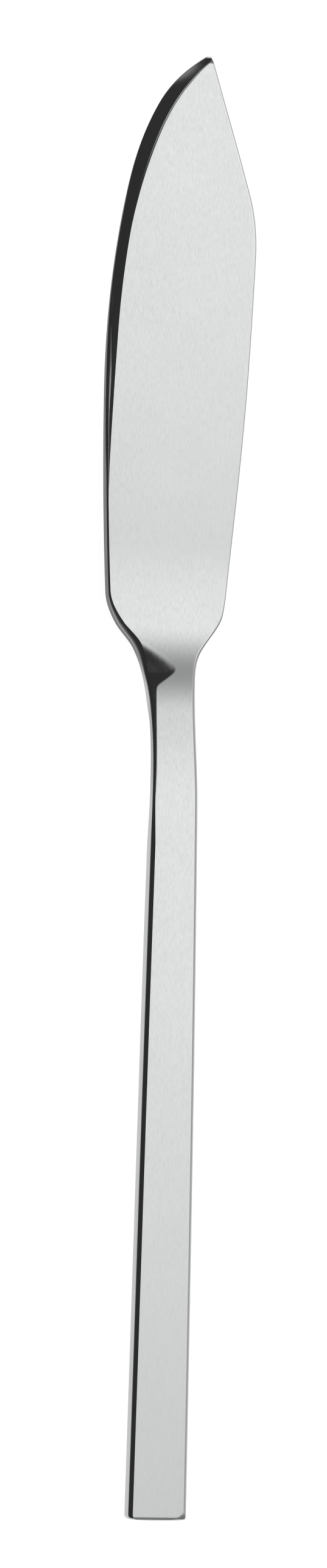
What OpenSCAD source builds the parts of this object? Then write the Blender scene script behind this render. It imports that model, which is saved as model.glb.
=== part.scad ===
// Fish knife, forged from one bar of stainless steel.
// The knife lies on the back of its handle, front face up. Built along +Y from the butt
// of the handle to the tip, with the spine of the blade on the -X side, in millimetres.

/* [Handle] */
// Length from the butt to the narrowest point of the neck
handle_length = 120; // [105:1:135]
// Width across the butt
butt_width = 8.66; // [7.6:0.02:9.6]
// Width at the waist, below the neck
waist_width = 6.76; // [6.2:0.02:7.4]
// Thickness of the handle bar
handle_thickness = 2.8; // [2.6:0.1:3.6]
// Width of the eased long edge on the spine side
edge_width = 0.6; // [0.4:0.05:0.8]
// Rounding of the long edge on the serving side
handle_edge = 0.55; // [0.35:0.05:0.7]
// Rounding of the butt's corner on the spine side, seen from the front
spine_corner = 0.85; // [0.6:0.05:1.4]
// Rounding of the butt's corner on the serving side, seen from the front
serving_corner = 0.4; // [0.3:0.05:0.9]

/* [Blade] */
// Length from the narrowest point of the neck to the tip
blade_length = 90; // [80:1:100]
// Greatest width of the blade
blade_width = 21.2; // [19:0.1:24]
// Thickness of the blade
blade_thickness = 2; // [1.8:0.1:2.4]
// Angle at which the blade is set upward, in degrees
blade_set = 1.53; // [0:0.01:2.5]
// Rounding of the serving edge
serving_edge = 0.32; // [0.2:0.02:0.44]

/* [Spine flat] */
// Rounding of the spine outside the flat
spine_edge = 0.33; // [0.3:0.01:0.4]
// Width from the spine to the inner border of the flat
border_width = 1.3; // [1.1:0.05:1.6]
// Width of the narrow facet with which the flat starts
facet_width = 0.35; // [0.2:0.05:0.5]
// How much wider the flat is round the nose
nose_widening = 0.53; // [0.3:0.01:0.7]
// Fall per millimetre of the flat towards the spine
flat_fall = 0.88; // [0.7:0.02:0.9]

/* [Neck] */
// How much of the handle's thickness the long even fall to the blade takes
long_share = 0.64; // [0.5:0.01:0.8]
// Fall per millimetre of the scoop on the spine side of the neck
scoop_fall = 0.15; // [0.08:0.01:0.18]

/* [Smoothness] */
// Facets on each rounded edge
edge_steps = 3; // [3:1:4]
// Facets across the front face
face_steps = 12; // [8:1:14]

/* [Hidden] */

waist_y = handle_length - 18;
taper = (butt_width - waist_width) / 2 / waist_y;
knife_length = handle_length + blade_length;
butt_edge = 0.45;
tip_edge = 0.3;
faced_off = 0.05;

// The butt sits a little to the spine side, and both sides bow slightly outward. A point
// of the blade's outline holds shares of its length and width, and its lean.
butt_shift = 0.115;
spine_bow = 0.006;
serving_bow = 0.0038;
lean_unit = blade_width / blade_length;
function blade_y(share) = handle_length + share * blade_length;
function outline_point(p) = [blade_y(p[0]), p[1] * blade_width, p[2] * lean_unit];
spine_line = concat(
    [
        [0, -butt_width / 2 - butt_shift, taper],
        [waist_y, -waist_width / 2, taper + spine_bow]
    ],
    [for (p = [
        [-0.022, -0.199, -0.70],
        [0.056, -0.303, -2.28],
        [0.094, -0.427, -2.57],
        [0.144, -0.504, -0.28],
        [0.467, -0.557, -0.05],
        [0.778, -0.444, 0.81],
        [0.922, -0.240, 2.29],
        [1, 0.083, 6.72]
    ]) outline_point(p)]
);
serving_line = concat(
    [
        [0, butt_width / 2 - butt_shift, serving_bow - taper],
        [waist_y, waist_width / 2, -taper]
    ],
    [for (p = [
        [0, 0.120, 0],
        [0.056, 0.170, 2.55],
        [0.111, 0.305, 0.80],
        [0.167, 0.331, 0.36],
        [0.5, 0.433, 0.18],
        [0.678, 0.458, 0.10],
        [0.778, 0.408, -1.265],
        [1, 0.108, -1.34]
    ]) outline_point(p)]
);

// Cubic between two points [y, x, slope] of an outline
function between(p, q, y) =
    let (h = q[0] - p[0], t = (y - p[0]) / h)
    p[1] * (1 - 3 * t ^ 2 + 2 * t ^ 3)
    + q[1] * (3 * t ^ 2 - 2 * t ^ 3)
    + h * p[2] * (t - 2 * t ^ 2 + t ^ 3)
    + h * q[2] * (t ^ 3 - t ^ 2);
function along(line, y) = [
    for (i = [0:len(line) - 2])
        if (y <= line[i + 1][0] || i == len(line) - 2)
            between(line[i], line[i + 1], y)
][0];

// 0 before a, 1 after b, and a smooth rise between them
function rise(a, b, y) =
    let (t = min(1, max(0, (y - a) / (b - a)))) 3 * t ^ 2 - 2 * t ^ 3;
function grown(shares, y) = rise(blade_y(shares[0]), blade_y(shares[1]), y);
function on_handle(y) = 1 - rise(handle_length - 4, blade_y(0.1), y);

// The larger of two values, with a rounded change-over between them
function larger(a, b, softness) = (a + b + sqrt((a - b) ^ 2 + softness ^ 2)) / 2;

// A quarter of an ellipse, as the inset at depth y from a rounded end
function rounded_end(y, deep, wide) =
    y >= deep ? 0 : wide * (1 - sqrt(1 - (1 - y / deep) ^ 2));

// The butt is slightly bowed between its two corners
butt_bow = 0.22;
butt_bow_width = 2.4;
function end_inset(y, corner) =
    rounded_end(y, corner, corner) + rounded_end(y, butt_bow, butt_bow_width - corner);
function spine_x(y) = along(spine_line, y) + end_inset(y, spine_corner);
function serving_x(y) = along(serving_line, y) - end_inset(y, serving_corner);

// How much longer the level distance to the spine is than the square one
step = 0.01;
function slant(y) = norm([1, (along(spine_line, y + step) - along(spine_line, y - step)) / (2 * step)]);

// The front falls to the blade in two smooth steps that end together
face_fall = handle_thickness - blade_thickness;
long_from = -21;
short_from = -3;
fall_to = 8;
function fall_at(past) =
    face_fall * long_share * rise(long_from, fall_to, past)
    + face_fall * (1 - long_share) * rise(short_from, fall_to, past);

// The blade bends upward past the neck and then runs straight
set_from = blade_y(0.08);
set_to = blade_y(0.22);
function lift(y) =
    let (t = min(1, max(0, (y - set_from) / (set_to - set_from))))
    tan(blade_set) * ((set_to - set_from) * t ^ 2 / 2 + max(0, y - set_to));

// The scoop is a shallow hollow that opens on the spine side of the neck. It has a crisp
// border that runs up the handle and turns, and a soft one towards the blade. A border
// is a line: its place across at the handle's end, and its lean.
side_border = [0.02 - waist_width / 2, -0.029];
top_border = [-2.93, 1.44];
soft_border = [1.1, -0.4];
scoop_softness = 3;
turn_softness = 0.5;
valley_softness = 0.5;
scoop_ends = [1.4, 7.6];
scoop_starts = 12;
function past(border, x, past_neck) = border[0] + border[1] * past_neck - x;
function softened(distance) =
    let (t = min(1, max(0, distance / scoop_softness)))
    scoop_softness * (t ^ 3 - t ^ 4 / 2) + max(0, distance - scoop_softness);
function scoop(x, past_neck) =
    past_neck < waist_y - handle_length || past_neck > scoop_ends[1] ? 0
    : let (
        crisp = larger(past(side_border, x, past_neck), past(top_border, x, past_neck), turn_softness),
        soft = softened(past(soft_border, x, past_neck))
            * (1 - rise(scoop_ends[0], scoop_ends[1], past_neck))
    )
    scoop_fall * max(0, -larger(-crisp, -soft, valley_softness))
    * rise(waist_y, waist_y + scoop_starts, handle_length + past_neck);

// The serving-side corner of the butt is polished down a little
worn_across = 2.1;
worn_along = 1.25;
worn_depth = 0.35;
function corner_fall(from_side, y) =
    y > worn_along ? 0
    : worn_depth * max(0, 1 - from_side / worn_across - y / worn_along) ^ 1.3;

function end_fall(y) =
    rounded_end(y, butt_edge, butt_edge) + rounded_end(knife_length - y, tip_edge, tip_edge);

// Square widths at the spine, from the edge inward: rounding, thin land, ground flat.
// The flat starts as a facet inside the edge and grows until it takes the whole edge.
flare = [-0.05, 0.028, 0.15];
flare_widening = 0.6;
border_grows = [0.261, 0.556];
facet_grows = [0.32, 0.445];
flat_grows = [0.478, 0.645];
nose = [0.71, 0.87];
tip = [0.92, 1];
land_tilt = 0.045;
edge_depth = 0.8 * edge_width;
edge_straightness = 0.5;
function spine_round(y) =
    spine_edge
    + (edge_width - spine_edge) * on_handle(y)
    + flare_widening * grown([flare[0], flare[1]], y) * (1 - grown([flare[1], flare[2]], y));
function nose_growth(y) = nose_widening * grown(nose, y) * (1 - grown(tip, y));

// What the spine's edge measures at one place along the knife
function spine_sizes(y) =
    let (
        round = spine_round(y),
        whole = round + (border_width - spine_edge) * grown(border_grows, y) + nose_growth(y),
        flat = facet_width * grown(facet_grows, y)
            + (border_width - facet_width) * grown(flat_grows, y)
            + nose_growth(y),
        deep = (round + (edge_depth - edge_width) * on_handle(y)) * (1 - min(1, flat / whole))
    )
    [round, whole, flat, deep, edge_straightness * on_handle(y)];

// Fall of the front at a square distance in from the spine
function spine_fall(inside, sizes) =
    let (
        share = max(0, 1 - inside / sizes[0]),
        past_flat = max(0, sizes[1] - sizes[2] - inside)
    )
    inside >= sizes[1] ? 0
    : flat_fall * min(sizes[2], sizes[1] - inside)
        + land_tilt * past_flat
        + sizes[3] * ((1 - sizes[4]) * (1 - sqrt(1 - share ^ 2)) + sizes[4] * share);

// One cross-section, counter-clockwise seen from the butt: front from spine to
// serving edge, then the serving edge, the back and the spine
round_limit = 0.2;
border_limit = 0.62;
rounding_limit = 0.8;
land_limits = [0.3, 0.7];
function quarter(i) = 90 * i / edge_steps;
function section(y) =
    let (
        left = spine_x(y),
        right = serving_x(y),
        width = right - left,
        lean = slant(y),
        past_neck = y - handle_length,
        sizes = spine_sizes(y),
        whole = min(sizes[1] * lean, border_limit * width),
        rounding = min(sizes[0] * lean, rounding_limit * whole),
        rest = whole - rounding,
        land_end = (rest - sizes[2] * lean) / rest,
        land = rest * min(land_limits[1], max(land_limits[0], land_end)),
        round_front = min(serving_edge + (handle_edge - serving_edge) * on_handle(y),
            round_limit * width),
        round_back = min(spine_edge, round_limit * width),
        rest_end = end_fall(y),
        raised = lift(y),
        face = handle_thickness - fall_at(past_neck) - rest_end + raised,
        bottom = raised + rest_end - faced_off,
        inner = right - round_front,
        places = concat(
            [for (i = [0:edge_steps]) left + rounding * (1 - cos(quarter(i)))],
            [left + rounding + land],
            [for (i = [0:face_steps]) left + whole + (inner - left - whole) * i / face_steps]
        ),
        front = [for (x = places) [
            x,
            y,
            face - scoop(x, past_neck) - corner_fall(right - x, y)
                - spine_fall((x - left) / lean, sizes)
        ]],
        shoulder = front[len(front) - 1][2]
    )
    concat(
        front,
        [for (i = [1:edge_steps])
            [inner + round_front * sin(quarter(i)), y,
                shoulder - round_front * (1 - cos(quarter(i)))]],
        [for (i = [0:edge_steps])
            [inner + round_front * cos(quarter(i)), y,
                bottom + round_front * (1 - sin(quarter(i)))]],
        [for (i = [0:edge_steps])
            [left + round_back * (1 - sin(quarter(i))), y,
                bottom + round_back * (1 - cos(quarter(i)))]]
    );

// Where the cross-sections stand: close together where the form turns quickly
function spread(a, b, step) =
    let (n = ceil((b - a) / step)) [for (i = [0:n - 1]) a + (b - a) * i / n];
stations = concat(
    [0, 0.02, 0.06, 0.13, 0.22, 0.34],
    spread(0.48, 2, 0.25),
    spread(2, waist_y, 25),
    spread(waist_y, handle_length - 5, 1.5),
    spread(handle_length - 5, blade_y(0.1), 0.8),
    spread(blade_y(0.1), blade_y(0.26), 1.2),
    spread(blade_y(0.26), blade_y(0.66), 3),
    spread(blade_y(0.66), blade_y(0.92), 2.4),
    spread(blade_y(0.92), knife_length - 1.2, 0.8),
    [for (i = [4:-1:1]) knife_length - 0.3 * i],
    [knife_length - 0.12, knife_length]
);

// Skin over a row of cross-sections with equal numbers of points
module loft(rows) {
    around = len(rows[0]);
    last = (len(rows) - 1) * around;
    polyhedron(
        points = [for (row = rows, p = row) p],
        faces = concat(
            [[for (i = [0:around - 1]) around - 1 - i]],
            [for (r = [0:len(rows) - 2], i = [0:around - 1], half = [0, 1])
                let (
                    a = r * around + i,
                    b = r * around + (i + 1) % around,
                    c = b + around,
                    d = a + around
                )
                half == 0 ? [a, b, c] : [a, c, d]],
            [[for (i = [0:around - 1]) last + i]]
        )
    );
}

// The middle of the outline, so that the knife stands centred on its origin
outline_left = min([for (y = stations) spine_x(y)]);
outline_right = max([for (y = stations) serving_x(y)]);
centre = [(outline_left + outline_right) / 2, knife_length / 2, 0];

// The back of the handle is faced off flat, which is what the knife rests on
module fish_knife() {
    color("silver")
    translate(-centre)
    difference() {
        loft([for (y = stations) section(y)]);
        translate([-blade_width, -1, -1])
        cube([2 * blade_width, knife_length + 2, 1]);
    }
}

fish_knife();
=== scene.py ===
"""A fish knife of polished stainless steel, lying on a white studio floor.

Sizes are in millimetres, and angles in radians. Shares, slopes, directions and levels of
light have no unit. The knife's own axes are the frame's: +Y from the butt to the tip, +X
towards the serving edge, +Z out of the front.
"""

import logging
import math
from dataclasses import dataclass
from enum import Enum
from functools import cached_property
from typing import ClassVar

import bmesh
import bpy
from mathutils import Matrix, Vector


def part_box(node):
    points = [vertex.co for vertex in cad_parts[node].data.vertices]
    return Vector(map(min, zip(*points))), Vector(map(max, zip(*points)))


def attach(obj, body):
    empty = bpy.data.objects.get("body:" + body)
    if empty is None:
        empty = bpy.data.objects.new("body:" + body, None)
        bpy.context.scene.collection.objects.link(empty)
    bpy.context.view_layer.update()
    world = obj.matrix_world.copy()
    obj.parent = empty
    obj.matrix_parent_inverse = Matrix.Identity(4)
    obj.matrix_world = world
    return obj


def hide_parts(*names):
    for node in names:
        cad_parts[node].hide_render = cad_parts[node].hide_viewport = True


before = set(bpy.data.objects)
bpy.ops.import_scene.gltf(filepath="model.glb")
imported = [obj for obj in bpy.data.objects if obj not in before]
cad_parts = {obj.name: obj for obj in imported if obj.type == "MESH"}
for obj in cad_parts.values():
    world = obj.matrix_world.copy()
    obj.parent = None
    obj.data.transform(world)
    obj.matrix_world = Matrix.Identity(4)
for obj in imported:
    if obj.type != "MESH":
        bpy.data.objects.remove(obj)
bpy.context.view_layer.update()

MM = 0.001
NODE = "fish_knife"

logging.basicConfig(level=logging.INFO, format="%(levelname)s %(message)s")
log = logging.getLogger("fish_knife")


def clamp(value: float) -> float:
    """Keeps a value from 0 to 1."""
    return min(1.0, max(0.0, value))


def rise(start: float, end: float, value: float) -> float:
    """Gives 0 before start, 1 after end, and a smooth rise between them.

    Args:
        start: Where the rise begins.
        end: Where the rise is complete.
        value: The place that is asked for.

    Returns:
        A share from 0 to 1.
    """
    share = clamp((value - start) / (end - start))
    return share * share * (3 - 2 * share)


def swell(start: float, end: float, value: float) -> float:
    """Gives 0 before start, 1 after end, and a rise with long soft ends between them.

    Args:
        start: Where the rise begins.
        end: Where the rise is complete.
        value: The place that is asked for.

    Returns:
        A share from 0 to 1.
    """
    share = clamp((value - start) / (end - start))
    return share**3 * (10 - 15 * share + 6 * share**2)


def hump(places: tuple[float, float, float, float], value: float) -> float:
    """Gives a smooth rise between two places and a smooth fall between two more.

    Args:
        places: Where the rise begins and ends, and where the fall begins and ends.
        value: The place that is asked for.

    Returns:
        A share from 0 to 1.
    """
    return rise(places[0], places[1], value) * (1 - rise(places[2], places[3], value))


def larger(first: float, second: float, softness: float) -> float:
    """Gives the larger of two values, with a rounded change-over between them.

    Args:
        first: One value.
        second: The other value.
        softness: How wide the change-over is.

    Returns:
        The larger value, or a little more where the two are close.
    """
    return (first + second + math.hypot(first - second, softness)) / 2


def quarter_ellipse(depth: float, deep: float, wide: float) -> float:
    """Gives the inset of a rounded end.

    Args:
        depth: The distance from the end.
        deep: How far the rounding reaches from the end.
        wide: The inset at the very end.

    Returns:
        The inset, which is 0 past the rounding.
    """
    if depth >= deep:
        return 0.0
    return wide * (1 - math.sqrt(max(0.0, 1 - (1 - depth / deep) ** 2)))


def evenly(start: float, end: float, count: int) -> list[float]:
    """Spaces a count of places evenly from start up to, and without, end."""
    return [start + (end - start) * i / count for i in range(count)]


def quarter_turn(steps: int) -> list[float]:
    """Gives the angles from 0 to a right angle, both of them included."""
    return [math.pi / 2 * i / steps for i in range(steps + 1)]


def linear(hex_colour: str) -> tuple[float, float, float, float]:
    """Turns an sRGB hex colour into linear red, green, blue and alpha.

    The numbers in it are those of the sRGB standard's own curve.

    Args:
        hex_colour: Six hex digits after a hash mark.

    Returns:
        The linear colour, with an alpha of 1.
    """
    channels = [int(hex_colour[i : i + 2], 16) / 255 for i in (1, 3, 5)]
    levels = [c / 12.92 if c <= 0.04045 else ((c + 0.055) / 1.055) ** 2.4 for c in channels]
    return levels[0], levels[1], levels[2], 1.0


def add_node(
    tree: bpy.types.NodeTree,
    kind: str,
    settings: dict[str, object] | None = None,
    values: dict[int | str, object] | None = None,
    links: dict[int | str, bpy.types.NodeSocket] | None = None,
) -> bpy.types.Node:
    """Adds one node with its settings, its socket values and its incoming links.

    Args:
        tree: The node tree that takes the node.
        kind: The node's type name.
        settings: The node's own properties.
        values: Constants for input sockets, by name or number.
        links: Output sockets to join to input sockets, by name or number.

    Returns:
        The new node.
    """
    node = tree.nodes.new(kind)
    for name, setting in (settings or {}).items():
        setattr(node, name, setting)
    for name, value in (values or {}).items():
        node.inputs[name].default_value = value
    for name, source in (links or {}).items():
        tree.links.new(source, node.inputs[name])
    return node


class Side(Enum):
    """The two long sides of the knife's outline."""

    SPINE = -1
    SERVING = 1


@dataclass(frozen=True)
class Contour:
    """One side of the outline, as cubic curves between a few points.

    Attributes:
        points: For each point, the distance from the butt, the place across and the slope.
    """

    points: tuple[tuple[float, float, float], ...]

    def across(self, along: float) -> float:
        """Gives the outline's place across the knife.

        Args:
            along: The distance from the butt.

        Returns:
            The place across, negative on the spine side.
        """
        last = len(self.points) - 2
        index = next((i for i in range(last) if along <= self.points[i + 1][0]), last)
        start, end = self.points[index], self.points[index + 1]
        height = end[0] - start[0]
        t = (along - start[0]) / height
        return (
            start[1] * (1 - 3 * t**2 + 2 * t**3)
            + end[1] * (3 * t**2 - 2 * t**3)
            + height * start[2] * (t - 2 * t**2 + t**3)
            + height * end[2] * (t**3 - t**2)
        )


@dataclass(frozen=True)
class Handle:
    """The flat bar of the handle, with eased long edges and a slightly bowed butt.

    Attributes:
        length: From the butt to where the blade begins.
        waist_before: How far short of that the straight bar ends, at the waist.
        butt_width: The bar's width at the butt.
        waist_width: The bar's width at the waist.
        shift: How far the bar sits off the knife's axis, to the spine side.
        spine_bow: The extra slope that bows the spine side outward, at the waist.
        serving_bow: The same for the serving side, at the butt.
        serving_waist_bow: The same for the serving side, at the waist.
        thickness: From the back to the front.
        edge_width: The eased edge on the spine side, across the front.
        edge_depth: The same edge, down the wall.
        edge_roundness: 0 makes that edge a straight bevel, and 1 a quarter round.
        edge_narrowing: How much narrower it is near the waist.
        edge_narrows: Where that begins, is full, is full no more and ends, from the
            handle's end.
        under_round: The rounding of the back's edge on the spine side.
        under_widening: How much wider that is near the waist.
        wall_ground_and_shade: How ground, and how darkened by painted shade, the spine's wall is near
            the waist.
        wall_ground_and_shade_reach: Where that is so, given as edge_narrows is.
        serving_edge: The rounding of both edges on the serving side.
        spine_corner: The radius of the butt's corner on the spine side.
        serving_corner: The radius of its corner on the serving side.
        butt_bow: How far the butt's end bulges along the knife.
        butt_bow_width: How far in from each side that bulge reaches.
        butt_edge: The rounding of the front's and the back's edge at the butt.
        worn_across: The corner polished off the front, measured across.
        worn_along: The same corner, measured along.
        worn_depth: Its depth at the corner itself.
        worn_curve: How hollow its slope is, where 1 is straight.
    """

    length: float = 120.0
    waist_before: float = 18.0
    butt_width: float = 8.66
    waist_width: float = 6.8
    shift: float = 0.11
    spine_bow: float = 0.003
    serving_bow: float = 0.0038
    serving_waist_bow: float = 0.007
    thickness: float = 2.8
    edge_width: float = 0.64
    edge_depth: float = 0.48
    edge_roundness: float = 0.4
    edge_narrowing: float = 0.26
    edge_narrows: tuple[float, float, float, float] = (-24.0, -16.0, -6.0, -2.5)
    under_round: float = 0.35
    under_widening: float = 0.8
    wall_ground_and_shade: float = 0.5
    wall_ground_and_shade_reach: tuple[float, float, float, float] = (-20.0, -11.0, -6.0, -1.0)
    serving_edge: float = 0.55
    spine_corner: float = 0.85
    serving_corner: float = 0.4
    butt_bow: float = 0.22
    butt_bow_width: float = 2.4
    butt_edge: float = 0.45
    worn_across: float = 2.1
    worn_along: float = 1.25
    worn_depth: float = 0.35
    worn_curve: float = 1.3

    @property
    def waist(self) -> float:
        """Where the straight bar ends, short of the neck."""
        return self.length - self.waist_before

    @property
    def taper(self) -> float:
        """How much each side draws in for each millimetre towards the waist."""
        return (self.butt_width - self.waist_width) / 2 / self.waist

    def outline(self, side: Side) -> list[tuple[float, float, float]]:
        """Gives the two outline points of the bar on one side.

        Args:
            side: The side of the knife.

        Returns:
            Points of distance from the butt, place across and slope.
        """
        butt = side.value * self.butt_width / 2 - self.shift
        waist = side.value * self.waist_width / 2 - self.shift
        if side is Side.SPINE:
            slopes = (self.taper, self.taper + self.spine_bow)
        else:
            slopes = (self.serving_bow - self.taper, -self.taper - self.serving_waist_bow)
        return [(0.0, butt, slopes[0]), (self.waist, waist, slopes[1])]

    def end_inset(self, side: Side, along: float) -> float:
        """Gives how far the outline draws in at the butt's bow and at one corner.

        Args:
            side: The side of the knife.
            along: The distance from the butt.

        Returns:
            The inset, which is 0 past the corner.
        """
        corner = self.spine_corner if side is Side.SPINE else self.serving_corner
        bow = quarter_ellipse(along, self.butt_bow, self.butt_bow_width)
        return quarter_ellipse(along, corner, corner) + bow

    def corner_fall(self, from_side: float, along: float) -> float:
        """Gives the fall of the front at the butt's polished-off corner.

        Args:
            from_side: The distance in from the serving side.
            along: The distance from the butt.

        Returns:
            The fall below the front face.
        """
        inside = max(0.0, 1 - from_side / self.worn_across - along / self.worn_along)
        return self.worn_depth * inside**self.worn_curve


@dataclass(frozen=True)
class Blade:
    """The wide blunt blade, whose places along it are shares of its length.

    Attributes:
        length: From the handle's end to the tip.
        width: What the outline's places across are shares of.
        lift: The slope of the blade's slight upward set.
        lift_starts: Where the turn upward begins and where it is complete.
        serving_edge: The rounding of both edges on the serving side.
        serving_flare: How much wider that is just past the neck.
        serving_flares: Where it widens and narrows again, from the handle's end.
        tip_edge: The rounding of the front's and the back's edge at the tip.
        ground_and_shade_starts: Where the ground finish and the painted shade of the spine's wall
            begin and are full.
        spine_shares: The outline on the spine side: for each point, the place along, the
            place across, and the slope as a share of the width over the length.
        serving_shares: The same for the serving side.
    """

    length: float = 90.0
    width: float = 21.2
    lift: float = 0.02655
    lift_starts: tuple[float, float] = (0.08, 0.22)
    serving_edge: float = 0.2
    serving_flare: float = 0.15
    serving_flares: tuple[float, float, float, float] = (1.0, 4.5, 6.5, 13.0)
    tip_edge: float = 0.3
    ground_and_shade_starts: tuple[float, float] = (-0.03, 0.07)
    spine_shares: tuple[tuple[float, float, float], ...] = (
        (-0.022, -0.201, -0.70),
        (0.056, -0.303, -2.28),
        (0.094, -0.427, -2.57),
        (0.144, -0.504, -0.28),
        (0.467, -0.557, -0.05),
        (0.778, -0.444, 0.81),
        (0.922, -0.240, 2.29),
        (1.0, 0.083, 6.72),
    )
    serving_shares: tuple[tuple[float, float, float], ...] = (
        (0.0, 0.120, 0.0),
        (0.056, 0.170, 2.55),
        (0.111, 0.305, 0.80),
        (0.167, 0.331, 0.36),
        (0.5, 0.433, 0.18),
        (0.678, 0.4579, 0.10),
        (0.778, 0.408, -1.265),
        (1.0, 0.108, -1.34),
    )

    def outline(self, side: Side, start: float) -> list[tuple[float, float, float]]:
        """Gives the blade's outline points on one side.

        Args:
            side: The side of the knife.
            start: Where the blade begins, from the butt.

        Returns:
            Points of distance from the butt, place across and slope.
        """
        shares = self.spine_shares if side is Side.SPINE else self.serving_shares
        lean = self.width / self.length
        return [(start + a * self.length, b * self.width, c * lean) for a, b, c in shares]


@dataclass(frozen=True)
class SpineFlat:
    """The blade's spine: a fine rounding, and a flat ground along the front of it.

    The flat starts as a narrow facet inside the edge, leaves a thin land outside it, and
    widens until it takes the whole edge. Places are shares of the blade's length.

    Attributes:
        round_width: The width of the fine rounding.
        flare_widening: How much wider that is just past the neck.
        flare: Where it begins to widen, is widest and is narrow again.
        width: The width of the whole edge once the flat is full.
        width_grows: Where the edge widens to that.
        facet_width: The width of the flat while it is a facet.
        facet_grows: Where the facet begins and is full.
        flat_grows: Where the facet widens into the flat.
        steepness: The flat's fall for each millimetre across.
        land_tilt: The land's fall for each millimetre across.
        nose_widening: How much wider the flat is round the nose.
        nose: Where it widens to that.
        tip: Where it narrows again.
        tip_narrowing: How much more it narrows at the point.
        tip_narrows: Where it does that.
    """

    round_width: float = 0.36
    flare_widening: float = 0.6
    flare: tuple[float, float, float] = (0.005, 0.07, 0.15)
    width: float = 1.3
    width_grows: tuple[float, float] = (0.261, 0.556)
    facet_width: float = 0.35
    facet_grows: tuple[float, float] = (0.32, 0.445)
    flat_grows: tuple[float, float] = (0.478, 0.645)
    steepness: float = 0.88
    land_tilt: float = 0.031
    nose_widening: float = 0.53
    nose: tuple[float, float] = (0.71, 0.87)
    tip: tuple[float, float] = (0.92, 1.0)
    tip_narrowing: float = 0.55
    tip_narrows: tuple[float, float] = (0.95, 1.01)


@dataclass(frozen=True)
class Neck:
    """The forged neck: the faces fall to the blade, and a scoop opens on the spine side.

    Places are distances from the handle's end towards the tip. Each border of the scoop
    is a curve: its place across at the handle's end, its lean and its bend.

    Attributes:
        long_fall: How far the front falls in its long even part.
        long_reach: Where that part begins and ends.
        short_fall: How far it falls in its steeper part.
        short_reach: Where that part begins and ends.
        edge_change: Where the handle's edges change into the blade's.
        scoop_slope: How steep the scoop's two slopes are.
        scoop_softness: Over what width the slope at the blade's border sets in.
        scoop_grows: Where the scoop sets in, measured from the waist.
        side_border: The crisp border along the handle.
        top_border: The crisp border that slants over the neck.
        soft_border: The soft border towards the blade.
        turn_softness: How round the corner between the crisp borders is.
        valley_softness: How round the bottom of the scoop is.
    """

    long_fall: float = 0.51
    long_reach: tuple[float, float] = (-17.0, 9.0)
    short_fall: float = 0.29
    short_reach: tuple[float, float] = (-4.5, 8.9)
    edge_change: tuple[float, float] = (-4.0, 9.0)
    scoop_slope: float = 0.097
    scoop_softness: float = 4.5
    scoop_grows: tuple[float, float] = (0.0, 12.0)
    side_border: tuple[float, float, float] = (-3.36, -0.029, 0.0)
    top_border: tuple[float, float, float] = (-2.93, 1.44, 0.0)
    soft_border: tuple[float, float, float] = (1.95, -0.21, -0.1545)
    turn_softness: float = 0.5
    valley_softness: float = 0.5

    def fall(self, past_neck: float) -> float:
        """Gives how far the front has fallen from the handle's level."""
        long_part = self.long_fall * rise(*self.long_reach, past_neck)
        return long_part + self.short_fall * swell(*self.short_reach, past_neck)

    def scoop(self, across: float, past_neck: float) -> float:
        """Gives the depth of the scoop that opens on the spine side.

        Args:
            across: The place across the knife.
            past_neck: The distance from the handle's end towards the tip.

        Returns:
            The depth, which is 0 outside the scoop.
        """
        side, top, soft = (
            start + lean * past_neck + bend * past_neck * abs(past_neck) - across
            for start, lean, bend in (self.side_border, self.top_border, self.soft_border)
        )
        crisp = larger(side, top, self.turn_softness)
        share = clamp(soft / self.scoop_softness)
        eased = self.scoop_softness * (share**3 - share**4 / 2)
        inside = eased + max(0.0, soft - self.scoop_softness)
        return self.scoop_slope * max(0.0, -larger(-crisp, -inside, self.valley_softness))


@dataclass(frozen=True)
class Sections:
    """How finely the skin is divided, along the knife and round each cross-section.

    Each run of cross-sections has its start and its widest spacing, and ends where the
    next begins.

    Attributes:
        butt: The first cross-sections, over the butt's rounded end.
        corner: The run over the butt's worn corner, from the butt.
        bar: The run over the straight bar, from the butt.
        waist: The spacing from the waist on.
        neck: The run over the neck, from the handle's end.
        root: The run over the blade's root, as a share of the blade's length.
        body: The run over the blade's body, as such a share.
        nose: The run over the blade's nose, as such a share.
        tip_steps: The steps over the rounded tip.
        edge_steps: The steps over the spine's rounding.
        land_steps: The steps over the land.
        flat_steps: The steps over the ground flat.
        front_steps: The steps over the rest of the front.
        round_steps: The steps over each other rounding.
        wall_steps: The steps down each wall.
        back_steps: The steps over the back.
    """

    butt: tuple[float, ...] = (
        0.0, 0.006, 0.02, 0.045, 0.08, 0.12, 0.17, 0.21, 0.26, 0.33, 0.41, 0.5, 0.6, 0.72,
    )
    corner: tuple[float, float] = (0.85, 0.3)
    bar: tuple[float, float] = (2.0, 5.0)
    waist: float = 0.5
    neck: tuple[float, float] = (-8.0, 0.12)
    root: tuple[float, float] = (0.1, 0.25)
    body: tuple[float, float] = (0.2, 0.8)
    nose: tuple[float, float] = (0.9, 0.25)
    tip_steps: int = 8
    edge_steps: int = 14
    land_steps: int = 4
    flat_steps: int = 6
    front_steps: int = 56
    round_steps: int = 8
    wall_steps: int = 6
    back_steps: int = 10


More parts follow.
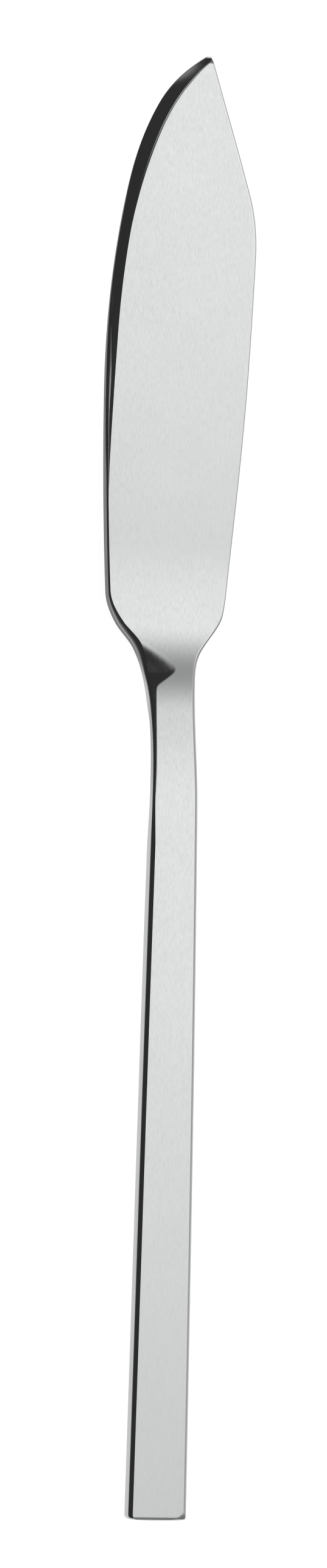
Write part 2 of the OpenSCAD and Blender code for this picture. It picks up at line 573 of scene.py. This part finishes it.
@dataclass(frozen=True)
class KnifeForm:
    """The knife's skin as cross-sections from the butt to the tip.

    Attributes:
        handle: The handle's sizes.
        blade: The blade's sizes.
        flat: The sizes of the blade's spine.
        neck: The neck's sizes.
        sections: How finely the skin is divided.
        widest_round: The most that one rounding takes of the width, near the tip.
        serving_room: The width that the spine's edge leaves to the serving side, in
            widths of the serving side's rounding.
        round_limit: The most that the spine's rounding takes of the whole edge.
        land_least: Where the flat starts at the earliest, in widths of the rounding.
        flat_latest: Where the flat starts at the latest, as a share of the whole edge.
        crease: How soon past the flat the next column stands, to keep its border crisp.
        crease_share: The most that this takes of the width.
        ground_and_shade_columns: The columns over which the ground finish and its painted shade fade
            on the rounding.
        slope_reach: How far to each side the outline's slope is measured.
    """

    handle: Handle = Handle()
    blade: Blade = Blade()
    flat: SpineFlat = SpineFlat()
    neck: Neck = Neck()
    sections: Sections = Sections()
    widest_round: float = 0.2
    serving_room: float = 1.2
    round_limit: float = 0.97
    land_least: float = 1.01
    flat_latest: float = 0.99
    crease: float = 0.02
    crease_share: float = 0.004
    ground_and_shade_columns: tuple[int, int] = (3, 6)
    slope_reach: float = 0.01

    @cached_property
    def sides(self) -> dict[Side, Contour]:
        """Joins the outline of each side, from the butt to the tip.

        Returns:
            The outline of each side.
        """
        start = self.handle.length
        return {
            side: Contour(tuple(self.handle.outline(side) + self.blade.outline(side, start)))
            for side in Side
        }

    @property
    def length(self) -> float:
        """The whole length of the knife."""
        return self.handle.length + self.blade.length

    def blade_at(self, share: float) -> float:
        """Gives the distance from the butt at a share of the blade's length."""
        return self.handle.length + share * self.blade.length

    def past_neck(self, along: float) -> float:
        """Gives the distance from the handle's end towards the tip."""
        return along - self.handle.length

    def edge_across(self, side: Side, along: float) -> float:
        """Gives the place across of one side, with the butt's corners drawn in."""
        return self.sides[side].across(along) - side.value * self.handle.end_inset(side, along)

    def slant(self, along: float) -> float:
        """Gives how much longer the level distance to the spine is than the square one.

        Args:
            along: The distance from the butt.

        Returns:
            The ratio, which is 1 where the spine runs straight along the knife.
        """
        spine, reach = self.sides[Side.SPINE], self.slope_reach
        slope = (spine.across(along + reach) - spine.across(along - reach)) / (2 * reach)
        return math.hypot(1, slope)

    def grown(self, shares: tuple[float, float], along: float) -> float:
        """Gives how far something has grown between two shares of the blade's length."""
        return rise(self.blade_at(shares[0]), self.blade_at(shares[1]), along)

    def on_handle(self, along: float) -> float:
        """Gives 1 on the handle, 0 on the blade, and a smooth fall over the neck."""
        return 1 - rise(*self.neck.edge_change, self.past_neck(along))

    def spine_round(self, along: float) -> float:
        """Gives the square width of the rounding along the spine.

        Args:
            along: The distance from the butt.

        Returns:
            The width.
        """
        start, middle, end = self.flat.flare
        flare = self.grown((start, middle), along) * (1 - self.grown((middle, end), along))
        return (
            self.flat.round_width
            + (self.handle.edge_width - self.flat.round_width) * self.on_handle(along)
            - self.handle.edge_narrowing * hump(self.handle.edge_narrows, self.past_neck(along))
            + self.flat.flare_widening * flare
        )

    def nose_growth(self, along: float) -> float:
        """Gives how much wider the ground flat is round the nose, less at the point.

        Args:
            along: The distance from the butt.

        Returns:
            The extra width.
        """
        widening = self.flat.nose_widening * self.grown(self.flat.nose, along)
        widening *= 1 - self.grown(self.flat.tip, along)
        return widening - self.flat.tip_narrowing * self.grown(self.flat.tip_narrows, along)

    def edge_width(self, along: float) -> float:
        """Gives the square width of the whole spine edge: rounding, land and flat."""
        wider = (self.flat.width - self.flat.round_width) * self.grown(self.flat.width_grows, along)
        return self.spine_round(along) + wider + self.nose_growth(along)

    def flat_width(self, along: float) -> float:
        """Gives the square width of the ground flat.

        Args:
            along: The distance from the butt.

        Returns:
            The width, which is 0 where there is no flat.
        """
        facet = self.flat.facet_width * self.grown(self.flat.facet_grows, along)
        wider = (self.flat.width - self.flat.facet_width) * self.grown(self.flat.flat_grows, along)
        return facet + wider + self.nose_growth(along)

    def spine_fall(self, inside: float, along: float) -> float:
        """Gives the fall of the front near the spine.

        Args:
            inside: The square distance in from the spine.
            along: The distance from the butt.

        Returns:
            The fall below the front face.
        """
        whole = self.edge_width(along)
        if inside >= whole:
            return 0.0
        flat = self.flat_width(along)
        rounding = self.spine_round(along)
        land = max(0.0, whole - flat - inside)
        fall = self.flat.steepness * min(flat, whole - inside) + self.flat.land_tilt * land
        share = 1 - inside / rounding
        if share > 0:
            shallower = (self.handle.edge_depth - self.handle.edge_width) * self.on_handle(along)
            left_over = max(0.0, 1 - flat / whole) if flat > 0 else 1.0
            rounded = 1 - math.sqrt(max(0.0, 1 - share**2))
            share += self.handle.edge_roundness * (rounded - share)
            fall += (rounding + shallower) * left_over * share
        return fall

    def end_fall(self, along: float) -> float:
        """Gives the fall of the faces at the butt's edge and at the tip."""
        butt, tip = self.handle.butt_edge, self.blade.tip_edge
        return quarter_ellipse(along, butt, butt) + quarter_ellipse(self.length - along, tip, tip)

    def lift(self, along: float) -> float:
        """Gives how high the blade has risen on its slight upward set.

        Args:
            along: The distance from the butt.

        Returns:
            The height, which is 0 on the handle.
        """
        start, end = (self.blade_at(share) for share in self.blade.lift_starts)
        inside = clamp((along - start) / (end - start))
        return self.blade.lift * ((end - start) * inside**2 / 2 + max(0.0, along - end))

    def front(self, across: float, along: float) -> float:
        """Gives the height of the front at a place.

        Args:
            across: The place across the knife.
            along: The distance from the butt.

        Returns:
            The height above the surface that the knife lies on.
        """
        inside = (across - self.edge_across(Side.SPINE, along)) / self.slant(along)
        from_side = self.edge_across(Side.SERVING, along) - across
        past_neck = self.past_neck(along)
        scoop = rise(*self.neck.scoop_grows, along - self.handle.waist)
        return (
            self.handle.thickness
            - self.neck.fall(past_neck)
            - self.neck.scoop(across, past_neck) * scoop
            - self.end_fall(along)
            - self.handle.corner_fall(from_side, along)
            - self.spine_fall(inside, along)
            + self.lift(along)
        )

    def back(self, along: float) -> float:
        """Gives the height of the back at a distance from the butt."""
        return self.lift(along) + self.end_fall(along)

    def serving_round(self, along: float) -> float:
        """Gives the rounding of both edges on the serving side.

        Args:
            along: The distance from the butt.

        Returns:
            The radius.
        """
        edge, flares = self.blade.serving_edge, self.blade.serving_flares
        return (
            edge
            + (self.handle.serving_edge - edge) * self.on_handle(along)
            + self.blade.serving_flare * hump(flares, self.past_neck(along))
        )

    def back_round(self, along: float) -> float:
        """Gives the rounding of the back's edge on the spine side."""
        waisted = hump(self.handle.edge_narrows, self.past_neck(along))
        return self.handle.under_round + self.handle.under_widening * waisted

    def front_places(self, along: float, serving: float) -> list[float]:
        """Gives where the front's points stand, up to the serving side's rounding.

        Args:
            along: The distance from the butt.
            serving: The rounding of the serving side.

        Returns:
            Places across, over the spine's rounding, the land, the flat and the rest.
        """
        left = self.edge_across(Side.SPINE, along)
        right = self.edge_across(Side.SERVING, along)
        slant = self.slant(along)
        most = right - left - self.serving_room * serving
        whole = min(self.edge_width(along) * slant, most)
        rounding = min(self.spine_round(along) * slant, self.round_limit * whole)
        facet = max(rounding * self.land_least, whole - self.flat_width(along) * slant)
        facet = min(facet, self.flat_latest * whole)
        crease = min(self.crease, self.crease_share * (right - left))
        turn = quarter_turn(self.sections.edge_steps)[:-1]
        return (
            [left + rounding * (1 - math.cos(angle)) for angle in turn]
            + evenly(left + rounding, left + facet, self.sections.land_steps)
            + evenly(left + facet, left + whole, self.sections.flat_steps)
            + [left + whole]
            + evenly(left + whole + crease, right - serving, self.sections.front_steps)
        )

    def wall(self, across: float, start: float, end: float) -> list[tuple[float, float]]:
        """Gives the points between the two ends of an upright wall."""
        return [(across, height) for height in evenly(start, end, self.sections.wall_steps)[1:]]

    def section(self, along: float) -> list[Vector]:
        """Gives one closed cross-section, from the spine over the front and back round.

        Args:
            along: The distance from the butt.

        Returns:
            The section's points, in order.
        """
        left = self.edge_across(Side.SPINE, along)
        right = self.edge_across(Side.SERVING, along)
        widest = self.widest_round * (right - left)
        serving = min(self.serving_round(along), widest)
        spine = min(self.back_round(along), widest)
        inner = right - serving
        low = self.back(along)
        shoulder = self.front(inner, along)
        turn = [(math.sin(a), math.cos(a)) for a in quarter_turn(self.sections.round_steps)]

        points = [(x, self.front(x, along)) for x in self.front_places(along, serving)]
        points += [(inner + serving * s, shoulder - serving * (1 - c)) for s, c in turn]
        points += self.wall(right, shoulder - serving, low + serving)
        points += [(inner + serving * c, low + serving * (1 - s)) for s, c in turn]
        points += [(x, low) for x in evenly(inner, left + spine, self.sections.back_steps)[1:]]
        points += [(left + spine * (1 - s), low + spine * (1 - c)) for s, c in turn]
        points += self.wall(left, low + spine, self.front(left, along))
        return [Vector((x, along, z)) for x, z in points]

    def ground(self, column: int, along: float) -> float:
        """Gives how ground, rather than polished, the skin is, and how much painted shade darkens it.

        Args:
            column: The point's number in its cross-section.
            along: The distance from the butt.

        Returns:
            1 on the wall of the blade's spine, 0 on every polished face.
        """
        cut = self.sections
        front = cut.edge_steps + cut.land_steps + cut.flat_steps + 1 + cut.front_steps
        serving_side = 2 * (cut.round_steps + 1) + cut.wall_steps - 1
        spine_wall = front + serving_side + cut.back_steps - 1
        grown = self.grown(self.blade.ground_and_shade_starts, along)
        waisted = hump(self.handle.wall_ground_and_shade_reach, self.past_neck(along))
        # Near the waist the handle's spine wall takes the darker tone as painted shade, for a dark
        # reflection.
        grown += self.handle.wall_ground_and_shade * waisted * (1 - grown)
        return grown if column >= spine_wall else grown * (1 - rise(*self.ground_and_shade_columns, column))

    def stations(self) -> list[float]:
        """Gives where the cross-sections stand, close together where the form turns.

        Returns:
            Distances from the butt, in order.
        """
        cut, tip = self.sections, self.blade.tip_edge
        runs = [cut.corner, cut.bar, (self.handle.waist, cut.waist)]
        runs.append((self.handle.length + cut.neck[0], cut.neck[1]))
        runs += [(self.blade_at(share), spacing) for share, spacing in (cut.root, cut.body, cut.nose)]
        ends = [start for start, _ in runs[1:]] + [self.length - tip]
        places = list(cut.butt)
        for (start, spacing), end in zip(runs, ends):
            places += evenly(start, end, math.ceil((end - start) / spacing))
        turn = quarter_turn(cut.tip_steps)
        return places + [self.length - tip * (1 - math.sin(angle)) for angle in turn]


@dataclass(frozen=True)
class PolishedSteel:
    """Stainless steel 18/10, forged, then polished with a felt wheel and fine paste.

    The eye sees a soft mirror: clear dark and light reflections with slightly blurred
    borders, broken by very fine lengthwise polishing marks. The wall of the blade's spine
    is left ground, which is duller; its darker tone is painted shade, for the shaded floor
    that it reflects, and the same painted shade darkens the outer part of the spine's
    rounding and the handle's spine wall near the waist. Real marks of a felt wheel are
    about 0.01 mm wide, too fine for the picture, so they are drawn 0.12 mm wide.

    Attributes:
        colour: The steel's lighter tone.
        shade: Its darker tone.
        ground_and_shade_colour: The tone of the ground wall, made darker as painted shade.
        ground_roughness: The roughness of the ground wall.
        roughness_low: The least roughness of the polish.
        roughness_high: The most roughness of the polish.
        grain_width: The width of a polishing mark.
        grain_stretch: How many times longer than wide a mark is.
        grain_detail: How many finer layers the marks have.
        grain_share: How strong each finer layer of marks is.
        grain_range: The noise levels that give the least and the most roughness.
        cloud_size: The size of the patches of the lighter and the darker tone.
        cloud_detail: How many finer layers the patches have.
        bump_height: The height of the marks.
    """

    GROUND_AND_SHADE: ClassVar[str] = "ground"

    colour: str = "#d7d8d8"
    shade: str = "#d2d3d3"
    ground_and_shade_colour: str = "#8a8a89"
    ground_roughness: float = 0.45
    roughness_low: float = 0.085
    roughness_high: float = 0.14
    grain_width: float = 0.12
    grain_stretch: float = 7.0
    grain_detail: float = 3.0
    grain_share: float = 0.6
    grain_range: tuple[float, float] = (0.3, 0.7)
    cloud_size: float = 9.0
    cloud_detail: float = 2.0
    bump_height: float = 0.0001

    def material(self) -> bpy.types.Material:
        """Makes the node material.

        Returns:
            The finished material.
        """
        made = bpy.data.materials.new("polished_steel")
        made.use_nodes = True
        tree = made.node_tree
        tree.nodes.clear()
        place = add_node(tree, "ShaderNodeTexCoord")
        along = add_node(
            tree,
            "ShaderNodeMapping",
            values={"Scale": (1 / MM, 1 / MM / self.grain_stretch, 1 / MM)},
            links={"Vector": place.outputs["Object"]},
        )
        grain = add_node(
            tree,
            "ShaderNodeTexNoise",
            values={
                "Scale": 1 / self.grain_width,
                "Detail": self.grain_detail,
                "Roughness": self.grain_share,
            },
            links={"Vector": along.outputs["Vector"]},
        )
        cloud = add_node(
            tree,
            "ShaderNodeTexNoise",
            values={"Scale": 1 / self.cloud_size / MM, "Detail": self.cloud_detail},
            links={"Vector": place.outputs["Object"]},
        )
        tone = add_node(
            tree,
            "ShaderNodeMix",
            settings={"data_type": "RGBA"},
            values={6: linear(self.shade), 7: linear(self.colour)},
            links={0: cloud.outputs["Fac"]},
        )
        worn = add_node(
            tree,
            "ShaderNodeMapRange",
            values={
                "From Min": self.grain_range[0],
                "From Max": self.grain_range[1],
                "To Min": self.roughness_low,
                "To Max": self.roughness_high,
            },
            links={"Value": grain.outputs["Fac"]},
        )
        edge = add_node(tree, "ShaderNodeAttribute", settings={"attribute_name": self.GROUND_AND_SHADE})
        # The ground share mixes in the darker tone, which is painted shade on the spine's walls.
        colour = add_node(
            tree,
            "ShaderNodeMix",
            settings={"data_type": "RGBA"},
            values={7: linear(self.ground_and_shade_colour)},
            links={0: edge.outputs["Fac"], 6: tone.outputs[2]},
        )
        roughness = add_node(
            tree,
            "ShaderNodeMix",
            settings={"data_type": "FLOAT"},
            values={3: self.ground_roughness},
            links={0: edge.outputs["Fac"], 2: worn.outputs["Result"]},
        )
        relief = add_node(
            tree,
            "ShaderNodeBump",
            values={"Strength": 1.0, "Distance": self.bump_height * MM},
            links={"Height": grain.outputs["Fac"]},
        )
        shader = add_node(
            tree,
            "ShaderNodeBsdfPrincipled",
            values={"Metallic": 1.0},
            links={
                "Base Color": colour.outputs[2],
                "Roughness": roughness.outputs[0],
                "Normal": relief.outputs["Normal"],
            },
        )
        add_node(tree, "ShaderNodeOutputMaterial", links={"Surface": shader.outputs["BSDF"]})
        return made


@dataclass(frozen=True)
class Knife:
    """The one-piece knife: lofted skin, steel finish, and its tie to the frame.

    Attributes:
        form: The knife's cross-sections.
        finish: The steel's finish.
        row_digits: The decimals that tell the rows of the flat grid apart.
        same_place: How close two points count as one.
    """

    form: KnifeForm = KnifeForm()
    finish: PolishedSteel = PolishedSteel()
    row_digits: int = 5
    same_place: float = 1e-6

    def skin(self) -> bpy.types.Mesh:
        """Rolls a grid round the cross-sections and closes its ends.

        Returns:
            The mesh, in metres, in the frame's place.
        """
        stations = self.form.stations()
        sections = [self.form.section(y) for y in stations]
        around = len(sections[0])
        shell = bmesh.new()
        # This layer holds the ground share, which also places the painted shade on the spine's walls.
        ground = shell.verts.layers.float.new(PolishedSteel.GROUND_AND_SHADE)
        grid = bmesh.ops.create_grid(
            shell, x_segments=around, y_segments=len(sections) - 1, size=1.0
        )
        corners = sorted(grid["verts"], key=lambda v: (round(v.co.y, self.row_digits), v.co.x))
        for row, points in enumerate(sections):
            start = row * (around + 1)
            for column in range(around + 1):
                corner = corners[start + column]
                corner.co = points[column % around]
                corner[ground] = self.form.ground(column % around, stations[row])
        bmesh.ops.remove_doubles(shell, verts=shell.verts, dist=self.same_place)
        rims = [edge for edge in shell.edges if edge.is_boundary]
        bmesh.ops.holes_fill(shell, edges=rims, sides=0)
        bmesh.ops.recalc_face_normals(shell, faces=shell.faces)
        low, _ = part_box(NODE)
        left = min(v.co.x for v in shell.verts)
        bmesh.ops.translate(
            shell, verts=shell.verts, vec=(low.x / MM - left, low.y / MM, low.z / MM)
        )
        bmesh.ops.scale(shell, verts=shell.verts, vec=(MM, MM, MM))
        for face in shell.faces:
            face.smooth = True
        mesh = bpy.data.meshes.new("knife")
        shell.to_mesh(mesh)
        shell.free()
        return mesh

    def build(self) -> bpy.types.Object:
        """Makes the knife and ties it to the frame.

        Returns:
            The finished piece.
        """
        piece = bpy.data.objects.new("knife", self.skin())
        bpy.context.scene.collection.objects.link(piece)
        piece.data.materials.append(self.finish.material())
        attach(piece, "root")
        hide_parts(NODE)
        return piece


@dataclass(frozen=True)
class StudioFloor:
    """A matt white floor that also shows white to the camera and to the metal.

    Attributes:
        half_size: From the middle of the floor to its side, in metres.
        squares: How many squares the floor has along each side.
        colour: The paint.
        glow: The white that the camera sees besides the lit paint.
        glow_in_metal: The same, as the metal sees it.
    """

    half_size: float = 4.0
    squares: int = 8
    colour: str = "#ebebeb"
    glow: float = 0.9
    glow_in_metal: float = 0.62

    def material(self) -> bpy.types.Material:
        """Makes the floor's node material.

        Returns:
            The finished material.
        """
        made = bpy.data.materials.new("white_floor")
        made.use_nodes = True
        tree = made.node_tree
        tree.nodes.clear()
        paint = add_node(tree, "ShaderNodeBsdfDiffuse", values={"Color": linear(self.colour)})
        path = add_node(tree, "ShaderNodeLightPath")
        strengths = {
            "Is Camera Ray": self.glow,
            "Is Glossy Ray": self.glow_in_metal,
            "Is Transmission Ray": self.glow,
        }
        so_far = {}
        for ray, strength in strengths.items():
            level = add_node(
                tree,
                "ShaderNodeMath",
                settings={"operation": "MULTIPLY_ADD"},
                values={1: strength, 2: 0.0},
                links={0: path.outputs[ray], **so_far},
            )
            so_far = {2: level.outputs[0]}
        light = add_node(tree, "ShaderNodeEmission", links={"Strength": level.outputs[0]})
        both = add_node(
            tree,
            "ShaderNodeAddShader",
            links={0: paint.outputs["BSDF"], 1: light.outputs["Emission"]},
        )
        add_node(tree, "ShaderNodeOutputMaterial", links={"Surface": both.outputs["Shader"]})
        return made

    def build(self) -> bpy.types.Object:
        """Lays the floor under the knife.

        Returns:
            The floor, which is stage.
        """
        sheet = bmesh.new()
        bmesh.ops.create_grid(
            sheet, x_segments=self.squares, y_segments=self.squares, size=self.half_size
        )
        mesh = bpy.data.meshes.new("floor")
        sheet.to_mesh(mesh)
        sheet.free()
        floor = bpy.data.objects.new("floor", mesh)
        bpy.context.scene.collection.objects.link(floor)
        mesh.materials.append(self.material())
        return floor


class Way(Enum):
    """The measures of a direction that the light changes with."""

    ACROSS = "X"
    ALONG = "Y"
    UP = "Z"
    OFF_ACROSS = "X without its sign"
    OFF_ALONG = "Y without its sign"
    SLANTED = "Y and a share of X"


@dataclass(frozen=True)
class Change:
    """A smooth change of the light with the direction.

    Attributes:
        way: The measure of the direction that it goes with.
        start: Where the change begins.
        end: Where it is complete.
        before: The level up to the start.
        after: The level past the end.
    """

    way: Way
    start: float
    end: float
    before: float = 0.0
    after: float = 1.0


@dataclass(frozen=True)
class StudioLight:
    """The light round the table, as a level for each direction.

    A black screen covers the spine side, a long soft box hangs a little to the serving
    side and fades towards the tip's end, and a grey room closes the serving side.

    Attributes:
        box_left: The soft box's border with the screen, and its full level.
        box_right: Where the soft box gives way to the room.
        room: The room, which is darker towards the butt's end.
        screen_level: The little that the black screen sends back.
        glow: A glow low over the horizon, on the butt's half.
        ceiling: A small patch of lit ceiling straight above.
        window: A grey window half-way up, past the tip on the spine side.
        open_lean: How much the room's open end leans to the serving side.
        open_end: The open end of the room, past the butt.
        open_level: The level of the open end.
        horizon: Where the table takes over from the room.
        table_level: The level of the table.
        lean_starts: The place across on whose spine side the soft box's fade leans.
        end_lean: How far it leans for each step across.
        far_fade: The soft box's fade along the table, as places and levels.
    """

    box_left: tuple[Change, ...] = (Change(Way.ACROSS, 0.148, 0.23, 0.0, 1.235),)
    box_right: tuple[Change, ...] = (Change(Way.ACROSS, 0.36, 0.6),)
    room: tuple[Change, ...] = (Change(Way.ALONG, -0.4, -0.08, 0.25, 0.48),)
    screen_level: float = 0.035
    glow: tuple[Change, ...] = (
        Change(Way.UP, 0.05, 0.35, 0.3, 0.0),
        Change(Way.ALONG, -0.02, 0.18, 1.0, 0.0),
    )
    ceiling: tuple[Change, ...] = (
        Change(Way.OFF_ACROSS, 0.004, 0.02, 0.4, 0.0),
        Change(Way.OFF_ALONG, 0.06, 0.11, 1.0, 0.0),
    )
    window: tuple[Change, ...] = (
        Change(Way.ALONG, 0.25, 0.45, 0.0, 0.42),
        Change(Way.UP, 0.4, 0.5),
        Change(Way.UP, 0.72, 0.84, 1.0, 0.0),
        Change(Way.ACROSS, -0.15, 0.1, 1.0, 0.0),
    )
    open_lean: float = -0.6
    open_end: tuple[Change, ...] = (Change(Way.SLANTED, -0.85, -0.6, 1.0, 0.0),)
    open_level: float = 0.22
    horizon: tuple[Change, ...] = (Change(Way.UP, -0.02, 0.0, 1.0, 0.0),)
    table_level: float = 1.0
    lean_starts: float = 0.235
    end_lean: float = 1.5
    far_fade: tuple[tuple[float, float], ...] = (
        (-0.6, 0.2),
        (-0.25, 0.2),
        (-0.12, 0.4),
        (-0.051, 0.70),
        (-0.033, 0.82),
        (-0.027, 0.82),
        (-0.022, 0.865),
        (-0.016, 0.965),
        (-0.011, 1.0),
        (0.022, 1.0),
        (0.042, 0.985),
        (0.063, 0.855),
        (0.077, 0.785),
        (0.088, 0.69),
        (0.105, 0.575),
        (0.121, 0.45),
        (0.131, 0.35),
        (0.147, 0.2),
        (0.18, 0.17),
        (0.3, 0.18),
        (0.5, 0.3),
    )

    def measures(self, tree: bpy.types.NodeTree) -> dict[Way, bpy.types.NodeSocket]:
        """Adds the nodes that measure a direction.

        Args:
            tree: The world's node tree.

        Returns:
            The output socket of each measure.
        """
        towards = add_node(tree, "ShaderNodeTexCoord")
        axes = add_node(tree, "ShaderNodeSeparateXYZ", links={0: towards.outputs["Generated"]})
        found = {way: axes.outputs[way.value] for way in (Way.ACROSS, Way.ALONG, Way.UP)}
        for signed, unsigned in ((Way.ACROSS, Way.OFF_ACROSS), (Way.ALONG, Way.OFF_ALONG)):
            size = add_node(
                tree, "ShaderNodeMath", settings={"operation": "ABSOLUTE"}, links={0: found[signed]}
            )
            found[unsigned] = size.outputs[0]
        slanted = add_node(
            tree,
            "ShaderNodeMath",
            settings={"operation": "MULTIPLY_ADD"},
            values={1: self.open_lean},
            links={0: found[Way.ACROSS], 2: found[Way.ALONG]},
        )
        found[Way.SLANTED] = slanted.outputs[0]
        return found

    def fade(
        self, tree: bpy.types.NodeTree, measured: dict[Way, bpy.types.NodeSocket]
    ) -> bpy.types.NodeSocket:
        """Adds the fade of the soft box along the table, with its leaning end.

        Args:
            tree: The world's node tree.
            measured: The output socket of each measure.

        Returns:
            The output socket of the fade.
        """
        centred = add_node(
            tree,
            "ShaderNodeMath",
            settings={"operation": "MULTIPLY_ADD"},
            values={1: 0.5, 2: 0.5 * (1 + self.end_lean * self.lean_starts)},
            links={0: measured[Way.ALONG]},
        )
        on_left = add_node(
            tree,
            "ShaderNodeMath",
            settings={"operation": "MINIMUM"},
            values={1: self.lean_starts},
            links={0: measured[Way.ACROSS]},
        )
        leaning = add_node(
            tree,
            "ShaderNodeMath",
            settings={"operation": "MULTIPLY_ADD"},
            values={1: -0.5 * self.end_lean},
            links={0: on_left.outputs[0], 2: centred.outputs[0]},
        )
        fade = add_node(tree, "ShaderNodeValToRGB", links={0: leaning.outputs[0]})
        ramp = fade.color_ramp
        ramp.interpolation = "LINEAR"
        ramp.elements.remove(ramp.elements[-1])
        # The ramp runs from 0 to 1, so a place from -1 to 1 is halved and centred.
        for index, (where, level) in enumerate(self.far_fade):
            place = 0.5 + where / 2
            stop = ramp.elements[0] if index == 0 else ramp.elements.new(place)
            stop.position = place
            stop.color = (level, level, level, 1.0)
        return fade.outputs["Color"]

    @staticmethod
    def part(
        tree: bpy.types.NodeTree,
        measured: dict[Way, bpy.types.NodeSocket],
        changes: tuple[Change, ...],
    ) -> bpy.types.NodeSocket:
        """Adds one part of the room, as the product of its changes.

        Args:
            tree: The world's node tree.
            measured: The output socket of each measure.
            changes: The part's changes with the direction.

        Returns:
            The output socket of the part's level.
        """
        steps = [
            add_node(
                tree,
                "ShaderNodeMapRange",
                settings={"interpolation_type": "SMOOTHSTEP"},
                values={
                    "From Min": change.start,
                    "From Max": change.end,
                    "To Min": change.before,
                    "To Max": change.after,
                },
                links={"Value": measured[change.way]},
            ).outputs[0]
            for change in changes
        ]
        level = steps[0]
        for step in steps[1:]:
            both = add_node(
                tree, "ShaderNodeMath", settings={"operation": "MULTIPLY"}, links={0: level, 1: step}
            )
            level = both.outputs[0]
        return level

    def build(self) -> bpy.types.World:
        """Makes the world that lights the scene.

        Returns:
            The world.
        """
        world = bpy.data.worlds.new("studio")
        world.use_nodes = True
        tree = world.node_tree
        tree.nodes.clear()
        measured = self.measures(tree)
        box = add_node(
            tree,
            "ShaderNodeMath",
            settings={"operation": "MULTIPLY_ADD"},
            values={2: self.screen_level},
            links={0: self.part(tree, measured, self.box_left), 1: self.fade(tree, measured)},
        )
        above = add_node(
            tree,
            "ShaderNodeMix",
            settings={"data_type": "FLOAT"},
            links={
                0: self.part(tree, measured, self.box_right),
                2: box.outputs[0],
                3: self.part(tree, measured, self.room),
            },
        )
        level = above.outputs[0]
        for patch in (self.glow, self.ceiling, self.window):
            lit = add_node(
                tree,
                "ShaderNodeMath",
                settings={"operation": "ADD"},
                links={0: level, 1: self.part(tree, measured, patch)},
            )
            level = lit.outputs[0]
        for cover, cover_level in (
            (self.open_end, self.open_level),
            (self.horizon, self.table_level),
        ):
            covered = add_node(
                tree,
                "ShaderNodeMix",
                settings={"data_type": "FLOAT"},
                values={3: cover_level},
                links={0: self.part(tree, measured, cover), 2: level},
            )
            level = covered.outputs[0]
        sky = add_node(
            tree,
            "ShaderNodeBackground",
            values={"Color": (1.0, 1.0, 1.0, 1.0)},
            links={"Strength": level},
        )
        add_node(tree, "ShaderNodeOutputWorld", links={"Surface": sky.outputs["Background"]})
        bpy.context.scene.world = world
        return world


@dataclass(frozen=True)
class StudioCamera:
    """A long lens over the knife, turned a little towards its spine side.

    Attributes:
        turn: The angle at which the camera stands to the spine side.
        lean: The angle at which the knife leans in the picture.
        picture_height: What the picture shows from its top to its bottom.
        lens: The focal length.
        film: The height of the film.
        aim: The place at the middle of the picture.
    """

    turn: float = math.radians(14.0)
    lean: float = math.radians(1.445)
    picture_height: float = 224.84
    lens: float = 300.0
    film: float = 36.0
    aim: tuple[float, float, float] = (-0.655, 0.61, 1.75)

    def build(self) -> bpy.types.Object:
        """Makes the camera and gives it to the scene.

        Returns:
            The camera.
        """
        towards = Vector((-math.sin(self.turn), 0, math.cos(self.turn)))
        level = Vector((math.cos(self.turn), 0, math.sin(self.turn)))
        ahead = Vector((0, 1, 0))
        right = level * math.cos(self.lean) + ahead * math.sin(self.lean)
        up = ahead * math.cos(self.lean) - level * math.sin(self.lean)
        distance = self.picture_height * self.lens / self.film
        data = bpy.data.cameras.new("camera")
        data.lens = self.lens
        data.sensor_width = self.film
        camera = bpy.data.objects.new("camera", data)
        turned = Matrix((right, up, towards)).transposed().to_4x4()
        spot = (Vector(self.aim) + towards * distance) * MM
        camera.matrix_world = Matrix.Translation(spot) @ turned
        bpy.context.scene.collection.objects.link(camera)
        bpy.context.scene.camera = camera
        return camera


def main() -> None:
    """Builds the camera, the light, the floor and the knife, and reports each."""
    bpy.context.scene.view_settings.view_transform = "Standard"
    camera = StudioCamera().build()
    log.info("camera %s", camera.name)
    light = StudioLight().build()
    log.info("light %s", light.name)
    floor = StudioFloor().build()
    log.info("floor %s", floor.name)
    knife = Knife().build()
    log.info("knife with %d faces", len(knife.data.polygons))


if __name__ == "__main__":
    main()
